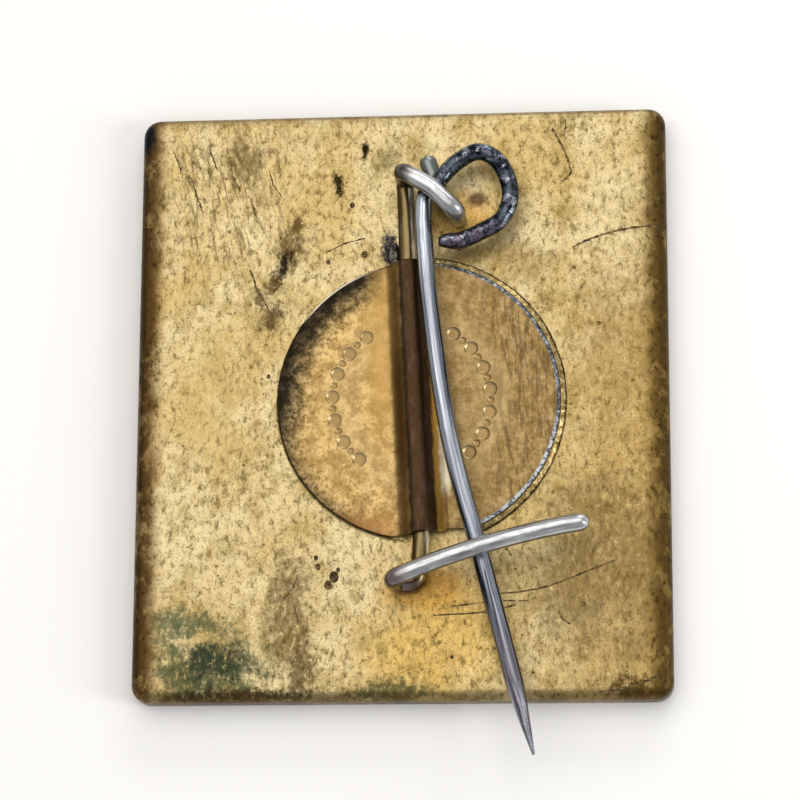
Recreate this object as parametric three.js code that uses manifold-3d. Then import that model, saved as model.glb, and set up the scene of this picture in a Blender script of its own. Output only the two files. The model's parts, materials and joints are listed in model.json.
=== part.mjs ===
// A small rectangular pin-back badge, lying face down on its enamelled front with the fastener on top.
// Millimetres, +Z up out of the back, +Y towards the hinge end. The origin is the centre of the front face.
import * as THREE from 'three';
import { mergeVertices } from 'three/addons/utils/BufferGeometryUtils.js';
import Module from 'manifold-3d';

const wasm = await Module();
wasm.setup();

// ---------- driving dimensions ----------
const GAP = 0.02; // play between pieces that touch

// struck plate and its enamel
const PLATE_W = 24; // across, along X
const PLATE_H = 27; // up, along Y
const PLATE_T = 1.5; // front face to back face
const PLATE_CORNER = 0.65; // corner radius in plan
const PLATE_ROLL = 0.45; // rounding of the front and back edges
const RIM_W = 1.3; // raised border around the enamel
const WALL_W = 0.7; // raised walls between the enamel cells
const CELL_R = 7.5; // radius of the round middle cell
const BOSS_R = 1.6; // brass boss left in the middle of it
const CELL_CORNER = 0.5; // corner radius of the four outer cells
const ENAMEL_T = 0.5; // depth of the enamel cells

// fastener disc, soldered to the back
const DISC_R = 6.35;
const DISC_T = 0.28; // sheet thickness
const DISC_X = 0.8; // disc centre
const DISC_Y = -0.05;
const DISC_LEAN = THREE.MathUtils.degToRad(2.9); // the channel leans this much from the plate's long axis
const CHANNEL_X = -0.13; // the channel runs this far off the disc's centre
const FLANK_W = 0.65; // width of each sloping flank beside the channel
const SOLDER_W = 0.35; // width of the solder seam around the disc
const SOLDER_T = 0.2; // its height against the disc
const BLOB_R = 0.62; // blob of solder beside the channel's upper mouth
const BLOB_T = 0.5;
const BLOB_SET = 0.6; // its centre stands off the wire and the disc by this share of its radius
const SEAM_BREAK = 0.45; // the seam stops this far short of the wire

// fastener wire: eye, channel run and catch bent from one wire
const WIRE_D = 0.8;
const WIRE_BEND = 0.48; // radius of its tight bends, on the centre line
const EYE_REACH = 3.8; // disc edge to the foot of the eye, along the channel
const EYE_SPAN = [2.45, -1.9]; // from the foot of the eye to its free leg, in plan
const EYE_BOW = 0.18; // the eye's bridge bows out this much in plan
const EYE_TAIL = [-1.47, 2.95]; // from the free leg to the cut end, in plan
const EYE_TAIL_BEND = [-0.87, 1.2]; // from the free leg to a slight bend in the tail, in plan
const CATCH_REACH = 2.0; // disc edge to the catch, along the channel
const CATCH_CURL = 1.0; // sideways run of the catch before it rises
const CATCH_BAR = [8.62, 2.28]; // from the rise of the catch to its free end, in plan
const CATCH_RISE = 0.85; // the bar climbs this much towards its free end
const CATCH_BOW = 0.3; // and bows this much in plan, towards the hinge
const CATCH_SINK = 0.12; // it starts this much lower than the eye's bridge
const MOUTH_DRIFT = 0.16; // past either mouth of the channel, the wire drifts this far aside

// steel pin, looped loosely through the eye
const PIN_D = 0.8;
const PIN_POINT = 3.3; // length of the ground point
const PIN_TIP_D = 0.12; // flat left at the very tip
const PIN_LIFT = 0.25; // the shaft runs this much higher than the loop
const PIN_CROSS = 3.85; // where the shaft crosses under the catch, from the rise of the catch
const PIN_PAST = 8.7; // shaft length past the catch
const PIN_PAST_X = 2.26; // sideways run of the shaft past the catch
// the loop's course in plan, from the eye's free leg
const PIN_LOOP = [
  [-0.62, -1.18], [0.15, -1.18], [1.03, -0.82], [2.0, -0.22], [2.39, 0.9], [1.87, 2.42], [1.0, 2.95],
  [-0.11, 2.4], [-0.8, 1.65], [-1.45, 0.9],
];
// the neck, from the eye's free leg: in plan, and how much of the step from loop to shaft it has climbed
const PIN_NECK = [
  [-1.53, 0, 0.35],
  [-1.47, -1.17, 1],
  [-1.24, -3.95, 1],
];
const PIN_SAG = [0.41, 0.55]; // the shaft's middle, as shares of the way across and down to the catch

// ---------- heights above the front face ----------
const BACK = PLATE_T;
const WIRE_LOW = BACK + GAP + WIRE_D / 2; // wire lying on the plate
const PIN_LOOP_Z = WIRE_LOW + WIRE_D / 2 + PIN_D / 2 + 4 * GAP; // loop lying on the eye's lower run
const WIRE_TOP = PIN_LOOP_Z + PIN_D / 2 + WIRE_D / 2 + 4 * GAP; // eye's bridge over the loop
const CHANNEL_R = WIRE_D / 2 + GAP; // inside of the channel
const CREST_R = CHANNEL_R + DISC_T; // outside of the channel
const PIN_SHAFT_Z = Math.max(PIN_LOOP_Z + PIN_LIFT, WIRE_LOW + CREST_R + PIN_D / 2 + GAP);

// ---------- plan positions ----------
const along = new THREE.Vector2(-Math.sin(DISC_LEAN), Math.cos(DISC_LEAN)); // up the channel
const channelAt = (s) => [DISC_X + CHANNEL_X + along.x * s, DISC_Y + along.y * s];
const mouthTop = channelAt(DISC_R);
const mouthBottom = channelAt(-DISC_R);
const eyeFoot = [mouthTop[0] - MOUTH_DRIFT, mouthTop[1] + EYE_REACH];
const eyeLeg = [eyeFoot[0] + EYE_SPAN[0], eyeFoot[1] + EYE_SPAN[1]];
const catchTurn = [mouthBottom[0] - MOUTH_DRIFT, mouthBottom[1] - CATCH_REACH];
const catchRise = [catchTurn[0] - CATCH_CURL, catchTurn[1]];

// ---------- small modelling helpers ----------
const at = ([x, y], z) => new THREE.Vector3(x, y, z);

// closed three.js geometry -> manifold solid
function solid(geometry) {
  const g = geometry.clone();
  g.deleteAttribute('normal');
  g.deleteAttribute('uv');
  const m = mergeVertices(g, 1e-5);
  const vertProperties = Float32Array.from(m.attributes.position.array);
  return new wasm.Manifold(new wasm.Mesh({ numProp: 3, vertProperties, triVerts: Uint32Array.from(m.index.array) }));
}

// manifold solid -> three.js geometry
function geometryOf(manifold) {
  const mesh = manifold.getMesh();
  const g = new THREE.BufferGeometry();
  g.setAttribute('position', new THREE.BufferAttribute(Float32Array.from(mesh.vertProperties), 3));
  g.setIndex(new THREE.BufferAttribute(Uint32Array.from(mesh.triVerts), 1));
  g.computeVertexNormals();
  return g;
}

function roundedRect(width, height, radius) {
  const s = new THREE.Shape();
  const x = width / 2;
  const y = height / 2;
  s.moveTo(-x + radius, -y);
  s.lineTo(x - radius, -y);
  s.absarc(x - radius, -y + radius, radius, -Math.PI / 2, 0);
  s.lineTo(x, y - radius);
  s.absarc(x - radius, y - radius, radius, 0, Math.PI / 2);
  s.lineTo(-x + radius, y);
  s.absarc(-x + radius, y - radius, radius, Math.PI / 2, Math.PI);
  s.lineTo(-x, -y + radius);
  s.absarc(-x + radius, -y + radius, radius, Math.PI, 1.5 * Math.PI);
  return s;
}

function slab(shape, from, to, curveSegments = 8) {
  const g = new THREE.ExtrudeGeometry(shape, { depth: to - from, bevelEnabled: false, curveSegments });
  return g.translate(0, 0, from);
}

// straight runs joined by round bends, as wire comes off a bending jig
function bentWire(points, bend) {
  const path = new THREE.CurvePath();
  let start = points[0];
  for (let i = 1; i < points.length - 1; i += 1) {
    const before = points[i - 1].clone().sub(points[i]);
    const after = points[i + 1].clone().sub(points[i]);
    const half = before.angleTo(after) / 2;
    const room = Math.min(before.length(), after.length()) * 0.49;
    const cut = Math.min(bend / Math.tan(half), room);
    const a = points[i].clone().addScaledVector(before.normalize(), cut);
    const b = points[i].clone().addScaledVector(after.normalize(), cut);
    path.add(new THREE.LineCurve3(start, a));
    path.add(new THREE.QuadraticBezierCurve3(a, points[i], b));
    start = b;
  }
  path.add(new THREE.LineCurve3(start, points[points.length - 1]));
  return path;
}

function wireAlong(path, diameter, stepsPerMm) {
  const section = new THREE.Shape();
  section.absarc(0, 0, diameter / 2, 0, 2 * Math.PI);
  const steps = Math.ceil(path.getLength() * stepsPerMm);
  return new THREE.ExtrudeGeometry(section, { steps, curveSegments: 6, extrudePath: path });
}

// grinds the straight end of a wire to a point, from its full thickness down to the flat left at the tip
function ground(geometry, tip, direction, length, diameter, tipDiameter) {
  const place = geometry.attributes.position;
  const v = new THREE.Vector3();
  for (let i = 0; i < place.count; i += 1) {
    v.fromBufferAttribute(place, i).sub(tip);
    const back = -v.dot(direction); // distance back from the tip
    const off = v.clone().addScaledVector(direction, back);
    if (back < length && off.length() < diameter) {
      const thickness = THREE.MathUtils.lerp(tipDiameter, diameter, back / length);
      v.copy(tip).addScaledVector(direction, -back).addScaledVector(off, thickness / diameter);
      place.setXYZ(i, v.x, v.y, v.z);
    }
  }
  return geometry;
}

function ball(centre, radius) {
  return new THREE.SphereGeometry(radius, 16, 10).translate(centre.x, centre.y, centre.z);
}

// ---------- the struck plate and its enamel ----------
const cellW = PLATE_W / 2 - RIM_W; // half sizes of the field inside the border
const cellH = PLATE_H / 2 - RIM_W;

// one of the four outer cells: a corner of the field outside the round wall; grow is the play around it
function outerCell(grow) {
  const r = CELL_R + WALL_W - grow;
  const b = WALL_W / 2 - grow;
  const x = cellW + grow;
  const y = cellH + grow;
  const reach = Math.sqrt(r * r - b * b);
  const low = Math.atan2(b, reach);
  const s = new THREE.Shape();
  s.moveTo(reach, b);
  s.lineTo(x, b);
  s.lineTo(x, y - CELL_CORNER);
  s.absarc(x - CELL_CORNER, y - CELL_CORNER, CELL_CORNER, 0, Math.PI / 2);
  s.lineTo(b, y);
  s.lineTo(b, reach);
  s.absarc(0, 0, r, Math.PI / 2 - low, low, true);
  return s;
}

function middleCell(grow) {
  const s = new THREE.Shape();
  s.absarc(0, 0, CELL_R + grow, 0, 2 * Math.PI);
  const hole = new THREE.Path();
  hole.absarc(0, 0, BOSS_R - grow, 0, 2 * Math.PI, true);
  s.holes.push(hole);
  return s;
}

const QUADRANTS = [
  ['enamel_upper_right', 1, 1],
  ['enamel_upper_left', -1, 1],
  ['enamel_lower_left', -1, -1],
  ['enamel_lower_right', 1, -1],
];

// mirror a solid into another quadrant of the plate
function mirrored(manifold, sx, sy) {
  return manifold.scale([sx, sy, 1]);
}

function plateSolid() {
  const outline = roundedRect(PLATE_W - 2 * PLATE_ROLL, PLATE_H - 2 * PLATE_ROLL, PLATE_CORNER - PLATE_ROLL);
  const blank = new THREE.ExtrudeGeometry(outline, {
    depth: PLATE_T - 2 * PLATE_ROLL,
    bevelThickness: PLATE_ROLL,
    bevelSize: PLATE_ROLL,
    bevelSegments: 4,
    curveSegments: 4,
  });
  let plate = solid(blank.translate(0, 0, PLATE_ROLL));
  const corner = solid(slab(outerCell(0), -1, ENAMEL_T, 24));
  for (const [, sx, sy] of QUADRANTS) plate = plate.subtract(mirrored(corner, sx, sy));
  return plate.subtract(solid(slab(middleCell(0), -1, ENAMEL_T, 32)));
}

// ---------- the fastener disc: sheet pressed up into a channel over the wire ----------
function discSolid() {
  const low = GAP;
  const top = low + DISC_T;
  const axis = GAP + WIRE_D / 2; // wire axis above the plate
  const spring = CREST_R + FLANK_W;
  const s = new THREE.Shape();
  s.moveTo(-DISC_R - 1, low);
  s.lineTo(-CHANNEL_R, low);
  s.lineTo(-CHANNEL_R, axis);
  s.absarc(0, axis, CHANNEL_R, Math.PI, 0, true);
  s.lineTo(CHANNEL_R, low);
  s.lineTo(DISC_R + 1, low);
  s.lineTo(DISC_R + 1, top);
  s.lineTo(spring, top);
  s.quadraticCurveTo(CREST_R, top, CREST_R, axis);
  s.absarc(0, axis, CREST_R, 0, Math.PI);
  s.quadraticCurveTo(-CREST_R, top, -spring, top);
  s.lineTo(-DISC_R - 1, top);
  const sheet = slab(s, -DISC_R - 1, DISC_R + 1, 10).rotateX(Math.PI / 2); // extruded along the channel
  const round = new THREE.CylinderGeometry(DISC_R, DISC_R, 4, 72).rotateX(Math.PI / 2);
  return solid(sheet.translate(CHANNEL_X, 0, 0)).intersect(solid(round));
}

// ---------- solder: a seam around the disc, broken where the wire passes ----------
// the blob where the iron was lifted: a low dome on the plate, beside the wire and against the disc
function blobSolid(discEdge) {
  const wireSide = CHANNEL_X - WIRE_D / 2 - 2 * GAP;
  const x = wireSide - BLOB_R * BLOB_SET;
  const y = discEdge + BLOB_R * BLOB_SET;
  const dome = new THREE.SphereGeometry(1, 20, 10).scale(BLOB_R, BLOB_R, BLOB_T).translate(x, y, GAP);
  const room = new THREE.BoxGeometry(4, 4, 4).translate(wireSide - 2, y, 2 + GAP);
  const disc = new THREE.CylinderGeometry(discEdge, discEdge, 4, 72).rotateX(Math.PI / 2);
  return solid(dome).intersect(solid(room)).subtract(solid(disc));
}

function seamSolid(side) {
  const inner = DISC_R + GAP;
  const profile = [
    [inner, GAP],
    [inner + SOLDER_W, GAP],
    [inner + SOLDER_W, GAP + SOLDER_T / 4],
    [inner + SOLDER_W / 3, GAP + (3 * SOLDER_T) / 4],
    [inner, GAP + SOLDER_T],
    [inner, GAP],
  ].map(([r, z]) => new THREE.Vector2(r, z));
  const ring = solid(new THREE.LatheGeometry(profile, 72).rotateX(Math.PI / 2));
  const reach = 2 * DISC_R;
  const slot = WIRE_D / 2 + SEAM_BREAK; // half width of the break
  const half = new THREE.BoxGeometry(reach, 2 * reach, 4).translate(CHANNEL_X + side * (slot + reach / 2), 0, 0);
  const seam = ring.intersect(solid(half));
  return side < 0 ? seam.add(blobSolid(inner)) : seam;
}

// ---------- the fastener wire ----------
function fastenerPath() {
  const bow = new THREE.Vector2(-EYE_SPAN[1], EYE_SPAN[0]).normalize().multiplyScalar(EYE_BOW);
  const bridge = [(eyeFoot[0] + eyeLeg[0]) / 2 + bow.x, (eyeFoot[1] + eyeLeg[1]) / 2 + bow.y];
  const catchLow = WIRE_TOP - CATCH_SINK;
  const catchBar = [0.25, 0.5, 0.75, 1].map((t) => at([
    catchRise[0] + CATCH_BAR[0] * t,
    catchRise[1] + CATCH_BAR[1] * t + 4 * CATCH_BOW * t * (1 - t),
  ], catchLow + CATCH_RISE * t));
  return bentWire(
    [
      at([eyeLeg[0] + EYE_TAIL[0], eyeLeg[1] + EYE_TAIL[1]], WIRE_LOW),
      at([eyeLeg[0] + EYE_TAIL_BEND[0], eyeLeg[1] + EYE_TAIL_BEND[1]], WIRE_LOW),
      at(eyeLeg, WIRE_LOW),
      at(eyeLeg, WIRE_TOP),
      at(bridge, WIRE_TOP),
      at(eyeFoot, WIRE_TOP),
      at(eyeFoot, WIRE_LOW),
      at(mouthTop, WIRE_LOW),
      at(mouthBottom, WIRE_LOW),
      at(catchTurn, WIRE_LOW),
      at(catchRise, WIRE_LOW),
      at(catchRise, catchLow),
      ...catchBar,
    ],
    WIRE_BEND,
  );
}

function wireSolid() {
  const path = fastenerPath();
  const end = path.getPoint(1);
  return solid(wireAlong(path, WIRE_D, 3)).add(solid(ball(end, WIRE_D / 2 + GAP / 2)));
}

// ---------- the pin: a loop around the eye's leg, a neck under its bridge, a shaft under the catch ----------
function pinPath() {
  const place = ([x, y]) => [eyeLeg[0] + x, eyeLeg[1] + y];
  const crossing = [catchRise[0] + PIN_CROSS, catchRise[1] + (PIN_CROSS * CATCH_BAR[1]) / CATCH_BAR[0]];
  const waist = place(PIN_NECK[2]);
  const middle = [waist[0] + (crossing[0] - waist[0]) * PIN_SAG[0], waist[1] + (crossing[1] - waist[1]) * PIN_SAG[1]];
  const points = PIN_LOOP.map((p) => at(place(p), PIN_LOOP_Z));
  for (const p of PIN_NECK) points.push(at(place(p), PIN_LOOP_Z + (PIN_SHAFT_Z - PIN_LOOP_Z) * p[2]));
  points.push(at(middle, PIN_SHAFT_Z), at(crossing, PIN_SHAFT_Z));
  const tip = at([crossing[0] + PIN_PAST_X, crossing[1] - PIN_PAST], PIN_SHAFT_Z);
  const run = tip.clone().sub(points[points.length - 1]);
  const shoulder = tip.clone().addScaledVector(run, -PIN_POINT / run.length());
  points.push(shoulder);
  const path = new THREE.CurvePath();
  path.add(new THREE.CatmullRomCurve3(points, false, 'centripetal'));
  path.add(new THREE.LineCurve3(shoulder, tip));
  return path;
}

function pinSolid() {
  const path = pinPath();
  const shank = wireAlong(path, PIN_D, 3);
  return solid(ground(shank, path.getPoint(1), path.getTangent(1), PIN_POINT, PIN_D, PIN_TIP_D));
}

// ---------- the assembly ----------
const gilt = new THREE.MeshStandardMaterial({ color: 0xcdb26e, roughness: 0.42, metalness: 1 });
const pressed = new THREE.MeshStandardMaterial({ color: 0xc09a52, roughness: 0.38, metalness: 1 });
const tinned = new THREE.MeshStandardMaterial({ color: 0xb9b7a6, roughness: 0.35, metalness: 1 });
const solder = new THREE.MeshStandardMaterial({ color: 0xc9bd94, roughness: 0.45, metalness: 1 });
const steel = new THREE.MeshStandardMaterial({ color: 0x7d8290, roughness: 0.3, metalness: 1 });
const blueEnamel = new THREE.MeshStandardMaterial({ color: 0x16264f, roughness: 0.12, metalness: 0 });
const ivoryEnamel = new THREE.MeshStandardMaterial({ color: 0xe9e2cf, roughness: 0.12, metalness: 0 });

const badge = new THREE.Group();

function addPiece(parent, name, manifold, material) {
  const mesh = new THREE.Mesh(geometryOf(manifold), material);
  mesh.name = name;
  parent.add(mesh);
  return mesh;
}

addPiece(badge, 'badge_plate', plateSolid(), gilt);

const corner = solid(slab(outerCell(-GAP), 0, ENAMEL_T - GAP, 24));
for (const [name, sx, sy] of QUADRANTS) addPiece(badge, name, mirrored(corner, sx, sy), blueEnamel);
addPiece(badge, 'enamel_middle', solid(slab(middleCell(-GAP), 0, ENAMEL_T - GAP, 32)), ivoryEnamel);

const fastener = new THREE.Group();
fastener.position.set(DISC_X, DISC_Y, BACK);
fastener.rotation.z = DISC_LEAN;
addPiece(fastener, 'fastener_disc', discSolid(), pressed);
addPiece(fastener, 'solder_seam_left', seamSolid(-1), solder);
addPiece(fastener, 'solder_seam_right', seamSolid(1), solder);
badge.add(fastener);

addPiece(badge, 'fastener_wire', wireSolid(), tinned);
addPiece(badge, 'pin', pinSolid(), steel);

export default badge;
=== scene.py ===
import json
import math

import bpy
from mathutils import Matrix, Quaternion, Vector
from mathutils.kdtree import KDTree


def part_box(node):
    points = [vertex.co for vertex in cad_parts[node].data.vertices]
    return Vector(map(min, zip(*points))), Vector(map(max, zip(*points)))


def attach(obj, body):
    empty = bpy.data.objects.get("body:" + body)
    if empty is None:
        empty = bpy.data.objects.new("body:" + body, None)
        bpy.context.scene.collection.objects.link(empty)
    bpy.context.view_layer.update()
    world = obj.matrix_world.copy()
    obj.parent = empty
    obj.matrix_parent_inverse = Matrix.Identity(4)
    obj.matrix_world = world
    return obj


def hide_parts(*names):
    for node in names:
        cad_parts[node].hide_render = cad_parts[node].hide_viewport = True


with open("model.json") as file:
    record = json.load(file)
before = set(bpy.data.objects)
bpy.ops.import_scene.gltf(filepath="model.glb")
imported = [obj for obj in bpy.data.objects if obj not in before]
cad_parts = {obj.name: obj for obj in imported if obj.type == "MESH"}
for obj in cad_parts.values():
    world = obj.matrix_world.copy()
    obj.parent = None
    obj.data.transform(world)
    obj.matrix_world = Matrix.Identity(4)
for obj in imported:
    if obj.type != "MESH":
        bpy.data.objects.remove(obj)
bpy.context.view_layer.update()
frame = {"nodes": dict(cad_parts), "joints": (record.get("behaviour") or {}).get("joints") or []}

MM = 0.001

# ---------------------------------------------------------------------------
# Camera: looking down on the badge's back, a little from its lower right,
# turned so that the plate's long side stands upright in the frame.
# ---------------------------------------------------------------------------
CAMERA_AZIMUTH = math.radians(22.6)
CAMERA_ELEVATION = math.radians(76.2)
CAMERA_ROLL = math.radians(-22.97)
CAMERA_DISTANCE = 137.7 * MM
CAMERA_TARGET = Vector((-0.18, 0.35, 0)) * MM
CAMERA_FIELD = math.radians(15)

bpy.ops.object.camera_add()
camera = bpy.context.object
towards_camera = Vector((
    math.sin(CAMERA_AZIMUTH) * math.cos(CAMERA_ELEVATION),
    -math.cos(CAMERA_AZIMUTH) * math.cos(CAMERA_ELEVATION),
    math.sin(CAMERA_ELEVATION),
))
camera.rotation_mode = "QUATERNION"
camera.location = CAMERA_TARGET + towards_camera * CAMERA_DISTANCE
facing_badge = (-towards_camera).to_track_quat("-Z", "Y")
camera.rotation_quaternion = facing_badge @ Quaternion((0, 0, 1), CAMERA_ROLL)
camera.data.angle = CAMERA_FIELD
camera.data.clip_start = 1 * MM
camera.data.clip_end = 5
bpy.context.scene.camera = camera
bpy.context.scene.view_settings.view_transform = "Standard"

# ---------------------------------------------------------------------------
# Studio: a plain white table, soft overhead light, and two window-like
# panels that give the wires their long highlights.
# ---------------------------------------------------------------------------


def linear(hex_colour):
    """An sRGB hex colour as the linear values that shaders use."""
    srgb = [int(hex_colour[i:i + 2], 16) / 255 for i in (1, 3, 5)]
    rgb = [c / 12.92 if c <= 0.04045 else ((c + 0.055) / 1.055) ** 2.4 for c in srgb]
    return (*rgb, 1)


def add_node(tree, kind, links=None, **settings):
    """Adds one node: settings are its properties, links are values or sockets for its inputs."""
    made = tree.nodes.new(kind)
    for name, value in settings.items():
        setattr(made, name, value)
    for name, value in (links or {}).items():
        if isinstance(value, bpy.types.NodeSocket):
            tree.links.new(value, made.inputs[name])
        else:
            made.inputs[name].default_value = value
    return made


def new_material(name):
    """An empty material: returns it with its node tree."""
    material = bpy.data.materials.new(name)
    material.use_nodes = True
    material.node_tree.nodes.clear()
    return material, material.node_tree


def drop_selection():
    """Leaves no object selected."""
    bpy.ops.object.select_all(action="DESELECT")


def finish_object(name):
    """Names the active object and moves its place and size into its mesh."""
    piece = bpy.context.object
    piece.name = name
    piece.data.name = name
    bpy.ops.object.transform_apply(location=True, rotation=True, scale=True)
    return piece


drop_selection()
bpy.ops.mesh.primitive_plane_add(size=0.9, location=(0, 0, -0.02 * MM))
table = finish_object("table_top")
table_white, tree = new_material("matt_white_board")
board = add_node(tree, "ShaderNodeBsdfPrincipled", {"Base Color": linear("#f4f3f1"), "Roughness": 0.6})
add_node(tree, "ShaderNodeOutputMaterial", {"Surface": board.outputs[0]})
table.data.materials.append(table_white)


def panel(name, place, size, power, colour):
    """A rectangular studio light that faces the badge."""
    bpy.ops.object.light_add(type="AREA", location=Vector(place) * MM)
    light = bpy.context.object
    light.name = name
    light.data.shape = "RECTANGLE"
    light.data.size, light.data.size_y = size[0] * MM, size[1] * MM
    light.data.energy = power
    light.data.color = linear(colour)[:3]
    light.rotation_euler = (-light.location).to_track_quat("-Z", "Y").to_euler()


panel("overhead", (-60, 110, 330), (420, 380), 0.7, "#fffaf2")
panel("right_window", (260, -60, 150), (80, 160), 0.35, "#f6f9ff")
panel("upper_window", (60, 260, 120), (200, 60), 0.2, "#ffffff")

world = bpy.data.worlds.new("studio")
bpy.context.scene.world = world
world.use_nodes = True
world.node_tree.nodes.clear()
room = add_node(world.node_tree, "ShaderNodeBackground", {"Color": linear("#ffffff"), "Strength": 0.5})
add_node(world.node_tree, "ShaderNodeOutputWorld", {"Surface": room.outputs[0]})

# ---------------------------------------------------------------------------
# Badge plate: struck from brass sheet, trimmed, its back edges rolled over in
# the die, then gilded. The front is cut out for the enamel.
# ---------------------------------------------------------------------------
plate_low, plate_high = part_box("badge_plate")
PLATE_CORNER = 0.8 * MM
BACK_ROLL = 0.5 * MM
FRONT_ROLL = 0.2 * MM
GRID_STEP = 0.4 * MM
RIPPLE_FADE = 1.5 * MM
CUT_PAST = 0.3 * MM
CORNER_GAP = 0.02 * MM
DIE_RIPPLE = 2.6 * MM
DIE_RELIEF = 0.06 * MM
MERGE = 0.001 * MM
ENAMELS = [
    "enamel_upper_right", "enamel_upper_left", "enamel_lower_left", "enamel_lower_right", "enamel_middle",
]


def select_edges(piece, wanted):
    """In edit mode, selects the edges whose two ends pass the test together."""
    bpy.ops.mesh.select_mode(type="EDGE")
    bpy.ops.mesh.select_all(action="DESELECT")
    bpy.ops.object.mode_set(mode="OBJECT")
    mesh = piece.data
    for edge in mesh.edges:
        edge.select = wanted(*(mesh.vertices[v].co for v in edge.vertices))
    bpy.ops.object.mode_set(mode="EDIT")


def apply_modifier(piece, kind, **settings):
    """Adds a modifier to the piece, sets it and applies it."""
    bpy.context.view_layer.objects.active = piece
    modifier = piece.modifiers.new(kind.title(), kind)
    for name, value in settings.items():
        setattr(modifier, name, value)
    bpy.ops.object.modifier_apply(modifier=modifier.name)


def merged_copy(node, name):
    """A copy of a CAD node with its own mesh, its doubled corners merged and its flat faces joined."""
    drop_selection()
    piece = frame["nodes"][node].copy()
    piece.data = piece.data.copy()
    piece.name = name
    bpy.context.scene.collection.objects.link(piece)
    piece.select_set(True)
    bpy.context.view_layer.objects.active = piece
    bpy.ops.object.mode_set(mode="EDIT")
    bpy.ops.mesh.select_all(action="SELECT")
    bpy.ops.mesh.remove_doubles(threshold=MERGE)
    bpy.ops.mesh.dissolve_limited(angle_limit=math.radians(1))
    bpy.ops.mesh.customdata_custom_splitnormals_clear()
    bpy.ops.object.mode_set(mode="OBJECT")
    return piece


def slice_up(low, high, step):
    """In edit mode, cuts all faces along a grid of upright planes."""
    for axis in (0, 1):
        normal = [0, 0, 0]
        normal[axis] = 1
        count = int((high[axis] - low[axis]) / step)
        for i in range(1, count):
            point = [0, 0, 0]
            point[axis] = low[axis] + (high[axis] - low[axis]) * i / count
            bpy.ops.mesh.select_all(action="SELECT")
            bpy.ops.mesh.bisect(plane_co=point, plane_no=normal)


plate_size = plate_high - plate_low
drop_selection()
bpy.ops.mesh.primitive_cube_add(size=1, location=(plate_low + plate_high) / 2, scale=plate_size)
plate = finish_object("plate_struck")
bpy.ops.object.mode_set(mode="EDIT")
select_edges(plate, lambda a, b: abs(a.z - b.z) > 0.5 * MM)
bpy.ops.mesh.bevel(offset=PLATE_CORNER, segments=6)
for height, roll, segments in ((plate_high.z, BACK_ROLL, 6), (plate_low.z, FRONT_ROLL, 3)):
    select_edges(plate, lambda a, b: max(abs(a.z - height), abs(b.z - height)) < 0.01 * MM)
    bpy.ops.mesh.bevel(offset=roll, segments=segments)
slice_up(plate_low, plate_high, GRID_STEP)
bpy.ops.object.mode_set(mode="OBJECT")

# the back is dished and rippled by the press; the ripples die away towards the rolled edge
waves = bpy.data.textures.new("plate_waves", "CLOUDS")
waves.noise_scale = DIE_RIPPLE
back_skin = plate.vertex_groups.new(name="back")
for vertex in plate.data.vertices:
    inside = min(plate_high.x - abs(vertex.co.x), plate_high.y - abs(vertex.co.y)) - BACK_ROLL
    if vertex.co.z > plate_high.z - 0.01 * MM:
        back_skin.add([vertex.index], min(1, inside / RIPPLE_FADE), "REPLACE")
apply_modifier(plate, "DISPLACE", texture=waves, strength=DIE_RELIEF, mid_level=0.9, vertex_group="back")
for name in ENAMELS:
    cutter = merged_copy(name, name + "_cell")
    for vertex in cutter.data.vertices:
        if vertex.co.z < plate_low.z + 0.01 * MM:
            vertex.co.z -= CUT_PAST
    apply_modifier(plate, "BOOLEAN", object=cutter, operation="DIFFERENCE", solver="EXACT")
    bpy.data.objects.remove(cutter)
apply_modifier(plate, "WELD", merge_threshold=CORNER_GAP)


def object_mm(tree):
    """Where a point is on the object, in millimetres."""
    place = add_node(tree, "ShaderNodeTexCoord").outputs["Object"]
    scaled = add_node(tree, "ShaderNodeVectorMath", {0: place, "Scale": 1 / MM}, operation="SCALE")
    return scaled.outputs[0]


def stretched(tree, place, turn, scale):
    """The place turned about Z by an angle in degrees, then scaled: for streaks and oval stains."""
    turned = add_node(tree, "ShaderNodeMapping", {
        0: place, 2: (0, 0, -math.radians(turn)), 3: [1 / s for s in scale]}, vector_type="TEXTURE")
    return turned.outputs[0]


def axes(tree, place):
    """The X, Y and Z of a place, each on its own."""
    return add_node(tree, "ShaderNodeSeparateXYZ", {0: place}).outputs[:3]


def noise(tree, place, scale, detail=2, roughness=0.5, distortion=0):
    """Cloudy noise round 0.5; on a place in millimetres, scale is its repeats per millimetre."""
    return add_node(tree, "ShaderNodeTexNoise", {
        "Vector": place, "Scale": scale, "Detail": detail, "Roughness": roughness,
        "Distortion": distortion}).outputs[0]


def weighted(tree, value, weight, rest):
    """A value times its weight, plus the rest."""
    made = add_node(tree, "ShaderNodeMath", {0: value, 1: weight, 2: rest}, operation="MULTIPLY_ADD")
    return made.outputs[0]


def band(tree, value, start, stop):
    """A mask that goes smoothly from 0 at start to 1 at stop."""
    ends = {"Value": value, "From Min": start, "From Max": stop}
    return add_node(tree, "ShaderNodeMapRange", ends, interpolation_type="SMOOTHSTEP").outputs[0]


def blend(tree, mask, under, over, strength=1):
    """One colour over another (each a socket or sRGB hex), where the mask is, up to a strength."""
    part = add_node(tree, "ShaderNodeMath", {0: mask, 1: strength}, operation="MULTIPLY", use_clamp=True)
    under, over = (linear(tone) if isinstance(tone, str) else tone for tone in (under, over))
    mix = add_node(tree, "ShaderNodeMix", {0: part.outputs[0], 6: under, 7: over}, data_type="RGBA")
    return mix.outputs[2]


def both(tree, a, b):
    """Where both masks are."""
    return add_node(tree, "ShaderNodeMath", {0: a, 1: b}, operation="MULTIPLY").outputs[0]


def between(tree, value, start, stop, fade):
    """Where a value lies in a range."""
    past_start = band(tree, value, start - fade, start + fade)
    return both(tree, past_start, band(tree, value, stop + fade, stop - fade))


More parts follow.
